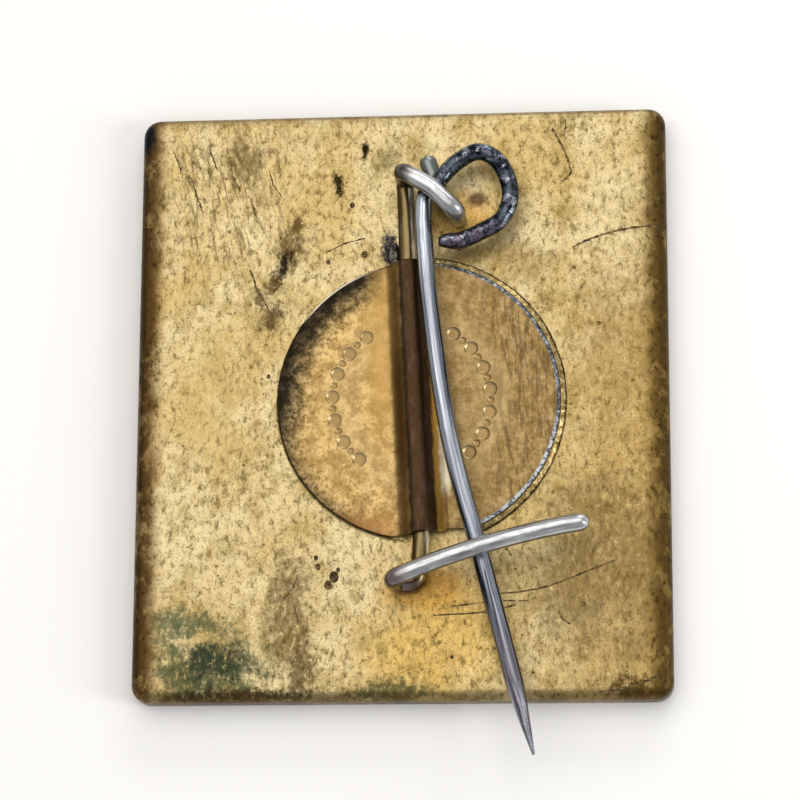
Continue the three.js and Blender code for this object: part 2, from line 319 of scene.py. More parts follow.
def flattened(tree, place):
    """The place with its height left out."""
    flat = add_node(tree, "ShaderNodeVectorMath", {0: place, 1: (1, 1, 0)}, operation="MULTIPLY")
    return flat.outputs[0]


def stain(tree, place, centre, size, turn, raggedness):
    """A ragged oval mask round a centre: size is its half width and half height, in millimetres."""
    off = add_node(tree, "ShaderNodeVectorMath", {0: place, 1: (*centre, 0)}, operation="SUBTRACT")
    flat = flattened(tree, off.outputs[0])
    oval = stretched(tree, flat, turn, (1 / size[0], 1 / size[1], 1))
    away = add_node(tree, "ShaderNodeVectorMath", {0: oval}, operation="LENGTH").outputs["Value"]
    rough = noise(tree, place, min(3.4, 2 / min(size)), 8, 0.75)
    worn = weighted(tree, rough, raggedness, away)
    return band(tree, worn, 1 + 0.5 * raggedness, 0.35 + 0.5 * raggedness)


def finish_metal(tree, tone, dull, relief, strength, distance, metallic=1, invert=False):
    """Ends a metal's material: its colour, its roughness, and its fine relief as bump, in millimetres."""
    heights = {"Height": relief, "Strength": strength, "Distance": distance * MM}
    bump = add_node(tree, "ShaderNodeBump", heights, invert=invert)
    metal = add_node(tree, "ShaderNodeBsdfPrincipled", {
        "Base Color": tone, "Metallic": metallic, "Roughness": dull, "Normal": bump.outputs[0]})
    add_node(tree, "ShaderNodeOutputMaterial", {"Surface": metal.outputs[0]})


def give(piece, material):
    """Leaves the piece with this material only."""
    piece.data.materials.clear()
    piece.data.materials.append(material)


def smooth(piece, degrees):
    """Shades the piece smooth, but for edges sharper than an angle."""
    drop_selection()
    piece.select_set(True)
    bpy.context.view_layer.objects.active = piece
    bpy.ops.object.shade_smooth_by_angle(angle=math.radians(degrees))


# Thin gilding over brass, worn and stained: pale gold, peppered with fine olive-brown corrosion, with
# brown lacquer left in the rolled edges, darkened further as painted shade for the dark surroundings they
# reflect, painted shade towards the right and lower part, a painted orange reflection under the catch, and
# verdigris in one corner. It gives a soft broken sheen.
RIM_START = (11.68, 14.05, 0)
gilt, tree = new_material("worn_gilt_brass")
place = object_mm(tree)
cloud = noise(tree, place, 0.28, 4, 0.6)
tone = blend(tree, band(tree, cloud, 0.35, 0.66), "#ccbc91", "#bca36e")
at_x, at_y, _ = axes(tree, place)
# painted shade: the back coloured darker towards its right and lower part
far_side_shade = band(tree, at_x, 3, 12)
far_side_shade = both(tree, far_side_shade, band(tree, at_y, 11, -3))
tone = blend(tree, far_side_shade, tone, "#a88b54", 0.7)
# painted reflection: an orange glow on the plate under the catch's left end, as if thrown by the brass wire
warm = stain(tree, place, (1.2, -8.6), (2.6, 1.6), 0, 0.7)
tone = blend(tree, warm, tone, "#bc8932", 0.75)
warm = stain(tree, place, (1.6, -11), (4.6, 3), 0, 0.8)
tone = blend(tree, warm, tone, "#cba657", 0.6)
warm = stain(tree, place, (2.4, 8.4), (2.2, 1.7), 0, 0.6)
tone = blend(tree, warm, tone, "#bc8e38", 0.7)
patches = noise(tree, stretched(tree, place, 0, (1, 0.7, 1)), 1.1, 6, 0.7)
tone = blend(tree, band(tree, patches, 0.46, 0.66), tone, "#8f7b43", 0.6)
worms_place = stretched(tree, place, 0, (1, 0.6, 1))
worms = noise(tree, worms_place, 4.2, 6, 0.75, 0.4)
tone = blend(tree, band(tree, worms, 0.47, 0.66), tone, "#6d5a2c", 0.75)
tone = blend(tree, band(tree, worms, 0.44, 0.3), tone, "#dfd398", 0.5)
dust = noise(tree, place, 11, 3, 0.6)
tone = blend(tree, band(tree, dust, 0.53, 0.68), tone, "#50421f", 0.55)
cells = add_node(tree, "ShaderNodeTexVoronoi", {"Vector": place, "Scale": 1.15})
size = add_node(tree, "ShaderNodeSeparateColor", {0: cells.outputs["Color"]}).outputs[0]
edge = weighted(tree, size, -0.12, cells.outputs["Distance"])
spots = band(tree, edge, 0.01, -0.02)
tone = blend(tree, spots, tone, "#473a1b", 0.75)
for turn, lines_across, cut in ((-13, 5, 0.57), (-8, 7, 0.57), (-20, 4, 0.58)):
    lines = noise(tree, stretched(tree, place, turn, (lines_across, 0.55, 1)), 1, 4, 0.62)
    scoured = stain(tree, place, (-8.2, 9.4), (4.8, 4.8), 0, 2)
    scoured = both(tree, scoured, band(tree, lines, cut, cut + 0.06))
    tone = blend(tree, scoured, tone, "#59482a", 0.6)
brown_spot = stain(tree, place, (3.45, 9.3), (0.62, 0.5), 0, 0.5)
tone = blend(tree, brown_spot, tone, "#4a3123", 0.85)
for centre, stain_size, turn, colour, strength in (
    ((-4.75, 8.3), (0.34, 0.6), 6, "#453212", 0.85),
    ((-5.0, 7.3), (0.95, 1.25), 14, "#4f3d1b", 0.85),
    ((-5.4, 6.3), (0.5, 1.2), 22, "#1f150a", 0.98),
    ((-5.9, 5.4), (0.5, 0.8), 32, "#4b3817", 0.85),
    ((-6.5, 4.9), (0.35, 0.6), -20, "#4b3817", 0.8),
    ((-2.9, 10.1), (0.32, 0.9), -8, "#22180b", 1),
    ((-1.68, 11.7), (0.24, 0.7), 0, "#22180b", 1),
    ((-0.6, 11.2), (0.9, 0.8), 0, "#5e5733", 0.6),
    ((-0.6, 7.0), (0.55, 1.2), 0, "#26262c", 1),
    ((-5.0, -9.5), (1.3, 3.2), 6, "#594625", 0.75),
    ((-4.4, -12.2), (0.8, 2.2), 8, "#4f3d1f", 0.8),
    ((7.5, -9.6), (2.0, 1.6), 0, "#766748", 0.5),
    ((9.2, -7.2), (4.2, 5.4), 0, "#6e5a35", 0.62),
    ((9.6, 2.6), (2.6, 4.6), 0, "#8c713f", 0.5),
    ((-5.9, 3.9), (0.8, 0.9), 0, "#3d2c15", 0.85),
    ((-8.6, 0.5), (1.6, 5.5), 0, "#b7a06a", 0.4),
    ((-7.2, 11.2), (1.3, 1.4), 0, "#5d4c27", 0.7),
    ((2.4, 6.4), (3.2, 0.7), -12, "#7f6a3a", 0.6),
    ((5.5, 6.2), (2.2, 1.2), 0, "#8a7443", 0.55),
    ((10.9, -13.3), (2.6, 0.9), 18, "#4a3717", 0.95),
):
    mark = both(tree, stain(tree, place, centre, stain_size, turn, 2.6), band(tree, worms, 0.26, 0.5))
    tone = blend(tree, mark, tone, colour, strength)
for centre, stain_size, colour in (
    ((-8.6, -12.2), (3.8, 2.2), "#4b4f34"),
    ((-9.9, -10.0), (2.6, 0.8), "#555a3e"),
    ((-8.3, -11.8), (2.0, 1.2), "#2b3326"),
    ((-0.6, -13.1), (2.6, 0.7), "#504f30"),
    ((-7.2, -13.3), (4.2, 0.5), "#33291a"),
):
    mark = both(tree, stain(tree, place, centre, stain_size, 0, 3), band(tree, worms, 0.28, 0.5))
    tone = blend(tree, mark, tone, colour, 0.9)
mirrored = add_node(tree, "ShaderNodeVectorMath", {0: place}, operation="ABSOLUTE").outputs[0]
inset = add_node(tree, "ShaderNodeVectorMath", {0: mirrored, 1: RIM_START}, operation="SUBTRACT").outputs[0]
inset_x, inset_y, _ = axes(tree, inset)
rim = add_node(tree, "ShaderNodeMath", {0: inset_x, 1: inset_y}, operation="MAXIMUM").outputs[0]
wander = noise(tree, place, 1.1, 5, 0.6)
rim = weighted(tree, wander, 0.7, rim)
# the rolled edges: brown lacquer, darkened further as painted shade for the dark surroundings the roll
# reflects
right_edge = band(tree, at_x, 10.6, 11.4)
rim_tone_and_shade = blend(tree, right_edge, "#6a5029", "#75602f")
rim_dark_and_shade = blend(tree, right_edge, "#3f2c14", "#4c391c")
tone = blend(tree, band(tree, rim, -0.8, 0.1), tone, rim_tone_and_shade, 0.85)
patchy_rim = both(tree, band(tree, rim, -0.45, 0.2), band(tree, patches, 0.36, 0.5))
tone = blend(tree, patchy_rim, tone, rim_dark_and_shade, 0.9)
wormy_rim = both(tree, band(tree, rim, -0.5, 0), band(tree, worms, 0.52, 0.64))
tone = blend(tree, wormy_rim, tone, "#2a1c0c", 0.7)
blue_corner = stain(tree, place, (-11.75, 12.6), (0.5, 1.1), 0, 1.4)
tone = blend(tree, blue_corner, tone, "#15171f", 0.95)
dirt = band(tree, worms, 0.5, 0.7)
dull = weighted(tree, dirt, 0.22, 0.4)
relief = weighted(tree, dust, 0.35, worms)
finish_metal(tree, tone, dull, relief, 0.5, 0.03, invert=True)
give(plate, gilt)

# scratches: lines scored into the back, each with its width, through points in millimetres
SCRATCHES = [
    (0.1, [
        (7.75, 6.95), (8.3, 7.22), (8.99, 7.48), (9.7, 7.66), (10.34, 7.78), (11.2, 7.86), (11.7, 7.84)]),
    (0.09, [
        (6.85, 12.6), (7.13, 12.1), (7.4, 11.52), (7.6, 11), (7.72, 10.47), (7.5, 10.2), (7.3, 10.05)]),
    (0.05, [(7.46, 13.0), (7.48, 12.6), (7.41, 12.18)]),
    (0.06, [(1.5, -9.74), (2.2, -9.7), (2.9, -9.68), (3.59, -9.63), (4.4, -9.48), (5.14, -9.31)]),
    (0.06, [
        (4.35, -8.8), (5.2, -8.75), (6.0, -8.62), (6.6, -8.48), (7.5, -8.15), (8.5, -7.75), (9.5, -7.37)]),
    (0.04, [(2.23, -9.35), (3.59, -9.2), (4.7, -9.12), (5.7, -9.15)]),
    (0.08, [(8.7, -13.2), (9.4, -13.12), (10.2, -12.93), (10.9, -12.68), (11.5, -12.4)]),
    (0.06, [(-9.80, 10.76), (-9.6, 10.35), (-9.45, 9.75), (-9.25, 9.3), (-9.11, 8.88)]),
    (0.04, [(-3.48, 6.91), (-3.1, 7.1), (-2.57, 7.36), (-1.66, 7.57)]),
    (0.05, [(-4.56, -7.87), (-4.8, -8.5), (-5.21, -8.99)]),
    (0.05, [(-4.72, -9.22), (-4.53, -9.98)]),
    (0.06, [(-6.93, 6.2), (-6.73, 5.78), (-6.62, 5.31), (-6.3, 4.77), (-5.98, 4.2)]),
    (0.06, [(2.53, 6.91), (2.9, 7.0), (3.12, 7.23)]),
    (0.06, [(4.64, -6.78), (4.8, -6.9), (4.95, -7.18)]),
    (0.045, [(7.0, -9.6), (7.15, -9.95), (7.5, -10.2)]),
    (0.045, [(-10.55, 11.9), (-10.25, 11.2), (-10.1, 10.6)]),
    (0.045, [(-8.1, 12.0), (-7.85, 11.3), (-7.8, 10.7), (-7.4, 9.9)]),
    (0.05, [(-8.93, 12.13), (-8.67, 11.43), (-8.53, 11.03)]),
    (0.045, [(-6.1, 10.9), (-5.9, 10.2), (-5.5, 9.6)]),
    (0.04, [(-7.02, 9.72), (-6.73, 8.93), (-6.63, 8.42)]),
]
PITS = [
    (0.2, (-3.21, -8.34)), (0.24, (-2.95, -7.98)), (0.14, (-3.67, -7.52)), (0.11, (-3.76, -7.12)),
    (0.1, (-2.77, -7.67)), (0.16, (-1.68, 6.8)), (0.13, (-2.26, 9.15)), (0.11, (-3.34, 6.48)),
    (0.09, (8.9, 3.4)), (0.1, (8.1, -9.3)), (0.08, (2.3, -11.6)), (0.1, (-6.0, 1.2)),
]
SCORE_DEPTH = 0.04


def back_height(x, y):
    """How high the plate's back is at a place, all in millimetres."""
    _, hit, _, _ = plate.ray_cast((x * MM, y * MM, plate_high.z + 1 * MM), (0, 0, -1))
    return hit.z / MM


def score(line, width, grime):
    """A round-bottomed cutter that follows the plate's back, shallow at both ends of the scratch."""
    points = []
    for (ax, ay), (bx, by) in zip(line, line[1:]):
        points += [(ax + (bx - ax) * i / 4, ay + (by - ay) * i / 4) for i in range(4)]
    points.append(line[-1])
    curve = bpy.data.curves.new("score", "CURVE")
    curve.dimensions = "3D"
    curve.bevel_depth = 1 * MM
    curve.bevel_resolution = 1
    curve.use_fill_caps = True
    spline = curve.splines.new("POLY")
    spline.points.add(len(points) - 1)
    for i, (point, (x, y)) in enumerate(zip(spline.points, points)):
        at_end = i in (0, len(points) - 1)
        depth = SCORE_DEPTH * (0.25 if at_end else 0.7 + 0.5 * math.sin(2.3 * i + 9 * x))
        point.radius = width * (0.8 + 0.35 * math.sin(1.9 * i + 5 * y))
        wobble = 0.03 * math.sin(2.7 * i + 3 * x)
        point.co = ((x + wobble) * MM, y * MM, (back_height(x, y) + point.radius - depth) * MM, 1)
    cutter = bpy.data.objects.new("score", curve)
    bpy.context.scene.collection.objects.link(cutter)
    drop_selection()
    cutter.select_set(True)
    bpy.context.view_layer.objects.active = cutter
    bpy.ops.object.convert(target="MESH")
    bpy.ops.object.mode_set(mode="EDIT")
    bpy.ops.mesh.select_all(action="SELECT")
    bpy.ops.mesh.remove_doubles(threshold=MERGE)
    bpy.ops.object.mode_set(mode="OBJECT")
    cutter.data.materials.append(grime)
    return cutter


# Dirt and brown corrosion packed into scratches and pits: dark and quite dull.
grime, tree = new_material("groove_grime")
clots = noise(tree, object_mm(tree), 5, 4)
tone = blend(tree, band(tree, clots, 0.4, 0.6), "#7a6136", "#3a2b15")
finish_metal(tree, tone, 0.6, clots, 0.4, 0.02, metallic=0.4)
cutters = [score(line, width, grime) for width, line in SCRATCHES]
for radius, (x, y) in PITS:
    drop_selection()
    sink = (back_height(x, y) + 0.3 * radius) * MM
    bpy.ops.mesh.primitive_ico_sphere_add(subdivisions=2, radius=radius * MM, scale=(1, 1.25, 0.8),
                                          location=(x * MM, y * MM, sink))
    cutters.append(finish_object("pit"))
    cutters[-1].data.materials.append(grime)
for cutter in cutters:
    apply_modifier(plate, "BOOLEAN", object=cutter, operation="DIFFERENCE", solver="MANIFOLD",
                   material_mode="TRANSFER")
    bpy.data.objects.remove(cutter)

smooth(plate, 35)
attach(plate, "badge")
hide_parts("badge_plate")

# ---------------------------------------------------------------------------
# Fastener disc: a round of thin brass sheet pressed up into a channel, so that
# it clips over the wire, and soldered to the plate all round its edge.
# ---------------------------------------------------------------------------
DISC_CENTRE = Vector((0.8, -0.05, 1.5)) * MM
DISC_LEAN = math.radians(2.9)
DISC_RADIUS = 6.35 * MM
SHEET = 0.28 * MM
SEAT = 0.02 * MM
CHANNEL_X = -0.13 * MM
WIRE_RADIUS = 0.4 * MM
CREST_RADIUS = WIRE_RADIUS + SEAT + SHEET
FLANK_FOOT = 1.35 * MM
CROPPED_AT = 6.08 * MM
FLANK_TOP = math.radians(32)
FLANK_CURVE = 3.2
DISC_BURR = 0.05 * MM
DENT_SIZE = 1.6 * MM
DENT_DEPTH = 0.04 * MM
GRID_ROW = 0.35
to_fastener = Matrix.Translation(DISC_CENTRE) @ Matrix.Rotation(DISC_LEAN, 4, "Z")


def channel_height(x):
    """Height of the sheet's upper face above the plate, at a distance from the channel's middle."""
    x = abs(x)
    axis = SEAT + WIRE_RADIUS
    flat = SEAT + SHEET
    shoulder_x = CREST_RADIUS * math.cos(FLANK_TOP)
    shoulder_z = axis + CREST_RADIUS * math.sin(FLANK_TOP)
    if x < shoulder_x:
        return axis + math.sqrt(CREST_RADIUS ** 2 - x ** 2)
    if x > FLANK_FOOT:
        return flat
    run = (FLANK_FOOT - x) / (FLANK_FOOT - shoulder_x)
    return flat + (shoulder_z - flat) * run ** FLANK_CURVE


drop_selection()
bpy.ops.mesh.primitive_circle_add(vertices=128, radius=DISC_RADIUS, fill_type="NGON")
disc = finish_object("disc_pressed")
bpy.ops.object.mode_set(mode="EDIT")
# how far from the channel's middle the sheet is divided, in millimetres: closely where it bends
near = [0.1, 0.2, 0.3, 0.4, 0.48, 0.54, 0.58, 0.62, 0.66, 0.7, 0.75, 0.8, 0.87, 0.95, 1.05, 1.2, 1.35]
far = [1.7 + GRID_ROW * i for i in range(14)]
for offset in near + far:
    for side in (-1, 1):
        bpy.ops.mesh.select_all(action="SELECT")
        bpy.ops.mesh.bisect(plane_co=(CHANNEL_X + side * offset * MM, 0, 0), plane_no=(1, 0, 0))
for i in range(-17, 18):
    bpy.ops.mesh.select_all(action="SELECT")
    bpy.ops.mesh.bisect(plane_co=(0, i * GRID_ROW * MM, 0), plane_no=(0, 1, 0))
bpy.ops.mesh.select_all(action="SELECT")
bpy.ops.mesh.bisect(plane_co=(0, -CROPPED_AT, 0), plane_no=(0.03, -1, 0), clear_outer=True)
bpy.ops.object.mode_set(mode="OBJECT")
for vertex in disc.data.vertices:
    vertex.co.z = channel_height(vertex.co.x - CHANNEL_X)
dents = bpy.data.textures.new("disc_dents", "CLOUDS")
dents.noise_scale = DENT_SIZE
apply_modifier(disc, "DISPLACE", texture=dents, strength=DENT_DEPTH, mid_level=0.8)
apply_modifier(disc, "SOLIDIFY", thickness=SHEET, offset=-1, use_even_offset=True)
apply_modifier(disc, "BEVEL", width=DISC_BURR, segments=2, limit_method="ANGLE",
               angle_limit=math.radians(60))

# two arcs of plain punched dots, large and small by turns; each arc is its first and last angle
MARK_RADIUS = 3.55 * MM
MARK_CENTRE = Vector((-0.3, 0, 0)) * MM
MARK_DEPTH = 0.1 * MM
BIG_DOT = (0.22 * MM, 0.46 * MM)
SMALL_DOT = (0.08 * MM, 0.28 * MM)
MARK_ARCS = ((122, 226), (-46, 55))
MARKS_A_SIDE = 13
marks = []
for first, last in MARK_ARCS:
    for i in range(MARKS_A_SIDE):
        floor_radius, top_radius = SMALL_DOT if i % 2 else BIG_DOT
        bpy.ops.mesh.primitive_cone_add(
            vertices=24, radius1=floor_radius, radius2=top_radius, depth=2 * MARK_DEPTH)
        mark = finish_object("mark")
        angle = math.radians(first + (last - first) * i / (MARKS_A_SIDE - 1))
        place = Matrix.Translation(MARK_CENTRE) @ Matrix.Rotation(angle, 4, "Z")
        mark.data.transform(place @ Matrix.Translation((MARK_RADIUS, 0, SEAT + SHEET)))
        marks.append(mark)
drop_selection()
for mark in marks:
    mark.select_set(True)
bpy.context.view_layer.objects.active = marks[0]
bpy.ops.object.join()
punch = bpy.context.object
apply_modifier(disc, "BOOLEAN", object=punch, operation="DIFFERENCE", solver="EXACT")
bpy.data.objects.remove(punch)
disc.data.transform(to_fastener)
smooth(disc, 35)
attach(disc, "badge")
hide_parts("fastener_disc")


def on_disc(tree, place):
    """A place in the disc's own frame, in millimetres, with how far it is from the disc's middle."""
    placed = add_node(tree, "ShaderNodeMapping", {0: place, 1: DISC_CENTRE / MM, 2: (0, 0, DISC_LEAN)},
                      vector_type="TEXTURE").outputs[0]
    flat = flattened(tree, placed)
    radius = add_node(tree, "ShaderNodeVectorMath", {0: flat}, operation="LENGTH").outputs["Value"]
    return placed, radius


# Brass sheet, pressed and then tarnished: tan where it was handled, brown-black along the channel's
# crest, partly tarnish and partly the pin's painted shadow, sooty at its left edge, where flux ran. It has
# painted highlights on the channel's right flank, the punched dots' walls and the upper left rim, painted
# shadow in the crease beside that flank and along the left rim, and a painted golden glow beside the
# channel's left foot. It has a satin sheen, slate-grey at the filed right edge.
pressed, tree = new_material("tarnished_brass_sheet")
place = object_mm(tree)
placed, radius = on_disc(tree, place)
at_x, at_y, _ = axes(tree, placed)
wander = noise(tree, place, 1.6, 5, 0.65)
fine = noise(tree, place, 7, 4, 0.65)
streaks_place = stretched(tree, placed, 0, (5, 0.9, 1))
streaks = noise(tree, streaks_place, 1, 4, 0.7)
across = weighted(tree, wander, 0.25, at_x)
tone = blend(tree, band(tree, wander, 0.35, 0.65), "#a1885c", "#886f42")
left_tone = blend(tree, band(tree, wander, 0.38, 0.6), "#c8aa72", "#a28550")
tone = blend(tree, band(tree, at_x, 0, -0.6), tone, left_tone)
tone = blend(tree, band(tree, fine, 0.46, 0.68), tone, "#654e2a", 0.6)
tone = blend(tree, band(tree, fine, 0.42, 0.32), tone, "#b2a078", 0.6)
right_half = band(tree, at_x, 2.2, 4)
tone = blend(tree, both(tree, right_half, band(tree, streaks, 0.46, 0.6)), tone, "#533f27", 0.65)
tone = blend(tree, between(tree, radius, 2.8, 4.1, 0.4), tone, "#b49d70", 0.3)
# painted reflection: a golden glow on the sheet beside the foot of the channel's left flank
golden_glow = both(tree, between(tree, at_x, -2.2, -0.85, 0.5), band(tree, at_y, -4, 1))
tone = blend(tree, golden_glow, tone, "#ac8a4f", 0.75)
reach = weighted(tree, fine, 1.6, radius)
left_side = band(tree, at_x, -0.9, -2.6)
upper_side = band(tree, at_y, -2.6, 0.6)
soot_reach = weighted(tree, upper_side, 0.75, reach)
soot = both(tree, left_side, band(tree, soot_reach, 6.1, 7.5))
tone = blend(tree, soot, tone, "#40372a", 0.9)
tone = blend(tree, both(tree, left_side, band(tree, soot_reach, 7.0, 7.8)), tone, "#262018", 0.85)
blotches = both(tree, both(tree, soot, band(tree, wander, 0.46, 0.56)), upper_side)
tone = blend(tree, blotches, tone, "#17150f", 0.75)
warm_foot = both(tree, between(tree, at_x, -4.4, -1.2, 0.6), band(tree, at_y, -4.6, -5.6))
tone = blend(tree, warm_foot, tone, "#9a6d3c", 0.6)
# painted highlight: deep gold along the channel's right flank, which faces the light
tone = blend(tree, between(tree, across, 0.62, 1.05, 0.1), tone, "#a07a35", 0.9)
# painted highlight: a pale cream strip at the foot of the right flank
highlight_strip = both(tree, between(tree, across, 0.98, 1.4, 0.08), between(tree, at_y, -4.2, 0.2, 0.5))
tone = blend(tree, highlight_strip, tone, "#efe2c2", 0.85)
# painted shadow: a dark brown line in the crease at the foot of the right flank, lower down
crease_shadow = both(tree, between(tree, across, 1.08, 1.22, 0.06), band(tree, at_y, -3.6, -4.6))
tone = blend(tree, crease_shadow, tone, "#4f3a1a", 0.7)
# dark brown along the crest and its left flank: partly tarnish, partly the pin's painted shadow
left_flank_tarnish_and_shadow = between(tree, at_y, -3.6, 2.4, 1.4)
left_flank_tarnish_and_shadow = both(tree, left_flank_tarnish_and_shadow, between(tree, across, -0.95, -0.3, 0.28))
tone = blend(tree, left_flank_tarnish_and_shadow, tone, "#3f2e18", 0.85)
tone = blend(tree, between(tree, across, -1.0, -0.4, 0.12), tone, "#6b4f28", 0.6)
crest_tarnish_and_shadow = both(tree, band(tree, across, -0.5, -0.36), band(tree, across, 0.76, 0.66))
tone = blend(tree, crest_tarnish_and_shadow, tone, "#3b2b1c", 0.95)
tone = blend(tree, both(tree, crest_tarnish_and_shadow, band(tree, streaks, 0.5, 0.62)), tone, "#5a4238", 0.6)
_, _, height = axes(tree, place)
# painted highlight: the punched dots' sloping walls coloured pale cream-gold; their floors dark brown
struck = both(tree, band(tree, height, 1.765, 1.73), band(tree, radius, 5.2, 5))
tone = blend(tree, struck, tone, "#e6cf9c", 0.9)
tone = blend(tree, both(tree, struck, band(tree, height, 1.715, 1.705)), tone, "#7b5e31", 0.8)
rim = band(tree, radius, 6.16, 6.24)
right_rim = both(tree, rim, band(tree, at_x, 0.5, 2))
# painted shadow: a dark line along the disc's left edge
left_rim = both(tree, band(tree, radius, 6.26, 6.32), band(tree, at_x, 0.5, -1))
tone = blend(tree, left_rim, tone, "#24180d", 0.9)
# painted highlight: a thin pale line on the upper left rim
upper_left_highlight = both(tree, left_rim, between(tree, at_y, 4.2, 5.9, 0.4))
tone = blend(tree, upper_left_highlight, tone, "#efe8d4", 0.85)
tone = blend(tree, right_rim, tone, "#626a74", 0.92)
tone = blend(tree, both(tree, right_rim, band(tree, fine, 0.44, 0.38)), tone, "#b9c0c6", 0.8)
low_rim = both(tree, right_rim, band(tree, at_y, -0.6, -3))
tone = blend(tree, low_rim, tone, "#d3d8de", 0.75)
tone = blend(tree, both(tree, right_rim, band(tree, fine, 0.5, 0.58)), tone, "#23232b", 0.85)
dull = weighted(tree, wander, 0.3, 0.28)
relief = weighted(tree, streaks, 0.6, fine)
finish_metal(tree, tone, dull, relief, 0.35, 0.02)
give(disc, pressed)

# ---------------------------------------------------------------------------
# Solder: run in round the disc's edge, left in a blob beside the channel's
# upper mouth, and broken where the wire comes out.
# ---------------------------------------------------------------------------
SEAM_WIDTH = 0.33 * MM
SEAM_NARROW = 0.1 * MM
SEAM_HEIGHT = 0.18 * MM
SEAM_BREAK = 0.87 * MM
BLOB_SIZE = Vector((0.3, 0.72, 0.2)) * MM
BLOB_AT = Vector((-0.8, 6.75, 0.12)) * MM
SEAM_RELIEF = 0.08 * MM
BLOB_RELIEF = 0.14 * MM
SEAM_RIPPLE = 0.3 * MM
SEAM_VOXEL = 0.035 * MM


def lay_seam(name, start, sweep, width, blob_at, node):
    """A fillet of solder of some width swept round the disc from a start angle, with an optional blob."""
    drop_selection()
    inner = DISC_RADIUS + 0.01 * MM
    middle = (inner + width / 2, 0, SEAT + SEAM_HEIGHT / 2)
    bpy.ops.mesh.primitive_cube_add(size=1, location=middle, scale=(width, 0.02 * MM, SEAM_HEIGHT))
    seam = finish_object(name)
    bpy.ops.object.mode_set(mode="EDIT")
    select_edges(seam, lambda a, b: min(a.x, b.x) > middle[0] and min(a.z, b.z) > middle[2])
    bpy.ops.transform.translate(value=(-0.04 * MM, 0, -0.14 * MM))
    bpy.ops.mesh.select_all(action="SELECT")
    bpy.ops.transform.rotate(value=-start, orient_axis="Z", center_override=(0, 0, 0))
    bpy.ops.mesh.select_all(action="DESELECT")
    bpy.ops.object.mode_set(mode="OBJECT")
    ahead = Vector((-math.sin(start), math.cos(start), 0))
    for polygon in seam.data.polygons:
        polygon.select = polygon.normal.dot(ahead) > 0.9
    bpy.ops.object.mode_set(mode="EDIT")
    bpy.ops.mesh.select_mode(type="FACE")
    bpy.ops.mesh.spin(steps=90, angle=-sweep, center=(0, 0, 0), axis=(0, 0, 1))
    bpy.ops.object.mode_set(mode="OBJECT")
    if blob_at:
        bpy.ops.mesh.primitive_uv_sphere_add(segments=24, ring_count=12, radius=1, scale=BLOB_SIZE,
                                             location=blob_at)
        finish_object("blob").select_set(True)
        seam.select_set(True)
        bpy.context.view_layer.objects.active = seam
        bpy.ops.object.join()
    bpy.ops.object.mode_set(mode="EDIT")
    bpy.ops.mesh.select_all(action="SELECT")
    bpy.ops.mesh.remove_doubles(threshold=MERGE)
    bpy.ops.mesh.normals_make_consistent(inside=False)
    bpy.ops.object.mode_set(mode="OBJECT")
    apply_modifier(seam, "REMESH", mode="VOXEL", voxel_size=SEAM_VOXEL)
    ripples = bpy.data.textures.new(name, "CLOUDS")
    ripples.noise_scale = SEAM_RIPPLE
    apply_modifier(seam, "SMOOTH", factor=0.5, iterations=6)
    relief = BLOB_RELIEF if blob_at else SEAM_RELIEF
    apply_modifier(seam, "DISPLACE", texture=ripples, strength=relief, mid_level=0.7)
    for vertex in seam.data.vertices:
        vertex.co.z = max(vertex.co.z, SEAT)
    seam.data.transform(to_fastener)
    for polygon in seam.data.polygons:
        polygon.use_smooth = True
    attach(seam, "badge")
    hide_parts(node)
    return seam


half_break = math.asin(SEAM_BREAK / DISC_RADIUS)
cropped_break = math.acos(CROPPED_AT / DISC_RADIUS)
half_turn = math.pi - 2 * half_break
lean = math.asin(-CHANNEL_X / DISC_RADIUS)
left_start = math.pi / 2 + half_break + lean
left_sweep = half_turn - 2 * lean
seam_left = lay_seam("solder_left", left_start, left_sweep, SEAM_NARROW, BLOB_AT, "solder_seam_left")
right_start = cropped_break - math.pi / 2
right_sweep = math.pi - half_break - cropped_break + lean
seam_right = lay_seam("solder_right", right_start, right_sweep, SEAM_WIDTH, None, "solder_seam_right")

# Tin-lead solder, gilded over with the rest: cream-gold and softly shiny, with a dark line where it
# meets the plate, partly grime and partly painted shade, a painted shadow along its inner edge beside the
# disc, and left dark grey in the blob, where the gilding didn't take.
soft_solder, tree = new_material("gilded_solder")
place = object_mm(tree)
placed, radius = on_disc(tree, place)
grain = noise(tree, place, 3.2, 5, 0.7)
at_x, at_y, _ = axes(tree, placed)
tone = blend(tree, band(tree, grain, 0.4, 0.62), "#bea873", "#8a7140")
tone = blend(tree, band(tree, at_x, 0.5, -2), tone, "#c9b27a", 0.8)
# a dark line where the solder meets the plate: partly grime, partly painted shade in the groove
outer = weighted(tree, grain, 0.12, radius)
tone = blend(tree, band(tree, outer, 6.6, 6.66), tone, "#2a1c0e", 0.9)
# painted shadow: dark along the solder's inner edge, beside the disc's raised edge
tone = blend(tree, band(tree, radius, 6.4, 6.36), tone, "#2a1e12", 0.8)
blob = both(tree, band(tree, at_y, 6.2, 6.5), band(tree, at_x, 0, -0.3))
tone = blend(tree, blob, tone, "#5f5a52", 0.9)
tone = blend(tree, both(tree, blob, band(tree, grain, 0.46, 0.56)), tone, "#101018", 0.95)
finish_metal(tree, tone, 0.36, grain, 0.4, 0.04)
for seam in (seam_left, seam_right):
    give(seam, soft_solder)

